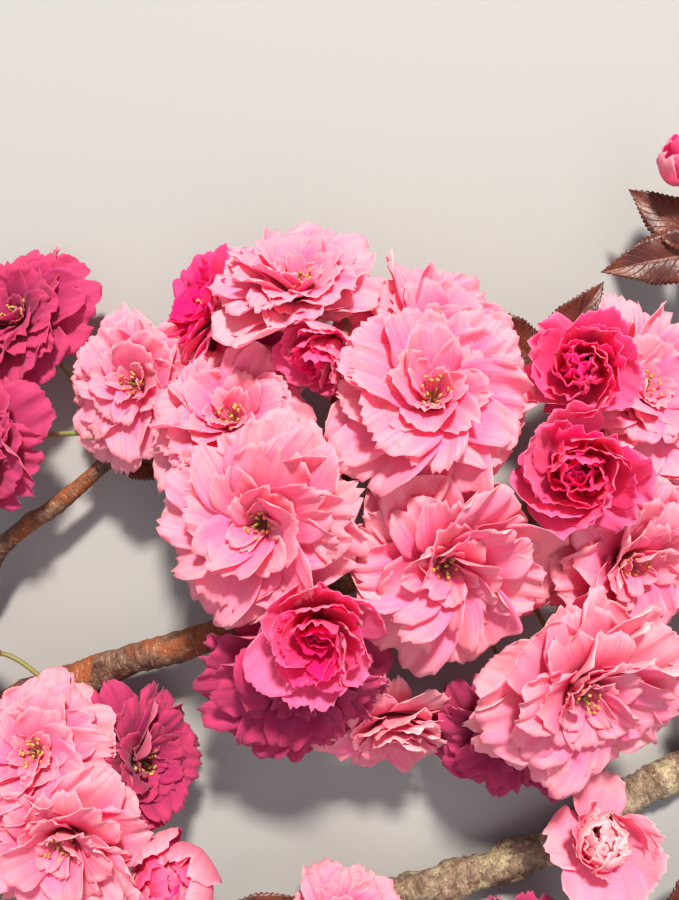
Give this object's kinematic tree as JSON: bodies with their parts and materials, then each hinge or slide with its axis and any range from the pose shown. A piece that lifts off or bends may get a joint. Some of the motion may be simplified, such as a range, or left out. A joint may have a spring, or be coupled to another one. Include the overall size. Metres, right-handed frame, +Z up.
{
  "type": "cut flowering cherry branch",
  "caption": "Forked cherry branch cut from its tree, lying flat, crowded with large double pink blooms and young bronze leaves.",
  "frame": {"origin": "middle of the footprint, on the table that the branch lies on", "axes": "+Z up from the table, towards the camera that looks down; +X along the branch away from its cut; +Y across it, the top of the picture"},
  "size_m": [0.4188, 0.3084, 0.0849],
  "materials": {
    "bark": "rough grey-brown bark with pale lenticels and lichen",
    "petal": "soft matt pale pink petals",
    "petal_deep": "soft matt deep pink petals",
    "leaf": "thin young leaves, bronze and slightly shiny"
  },
  "bodies": {
    "root": {"base_limb": "bark", "bloom_fork_front": "petal", "bloom_fork_side": "petal", "bloom_fork_upper": "petal", "bloom_front_left": "petal", "bloom_front_middle": "petal", "bloom_front_right": "petal", "bloom_left_edge_lower": "petal_deep", "bloom_left_edge_middle": "petal", "bloom_left_edge_upper": "petal", "bloom_left_single": "petal", "bloom_limb_end": "petal", "bloom_low_end": "petal", "bloom_low_left_bud": "petal_deep", "bloom_low_middle": "petal", "bloom_low_right_crumpled": "petal_deep", "bloom_low_right_shaded": "petal", "bloom_lower_back": "petal", "bloom_lower_cup": "petal_deep", "bloom_lower_skirt": "petal", "bloom_right_bud_lower": "petal_deep", "bloom_right_bud_upper": "petal_deep", "bloom_right_front": "petal", "bloom_right_lower": "petal", "bloom_right_pale": "petal", "bloom_right_shaded": "petal", "bloom_top": "petal", "bloom_top_left": "petal", "bloom_top_right": "petal", "bloom_top_shaded": "petal", "bloom_top_small": "petal_deep", "bloom_upper_left": "petal", "bud_right_edge": "petal_deep", "leaves_left": "leaf", "leaves_low_end": "leaf", "leaves_low_left": "leaf", "leaves_low_right": "leaf", "leaves_right_edge": "leaf", "leaves_top_right": "leaf", "left_twig": "bark", "lower_limb_inner": "bark", "lower_limb_outer": "bark", "lower_twig": "bark", "middle_twig": "bark", "right_twig": "bark", "upper_limb": "bark"}
  },
  "joints": []
}
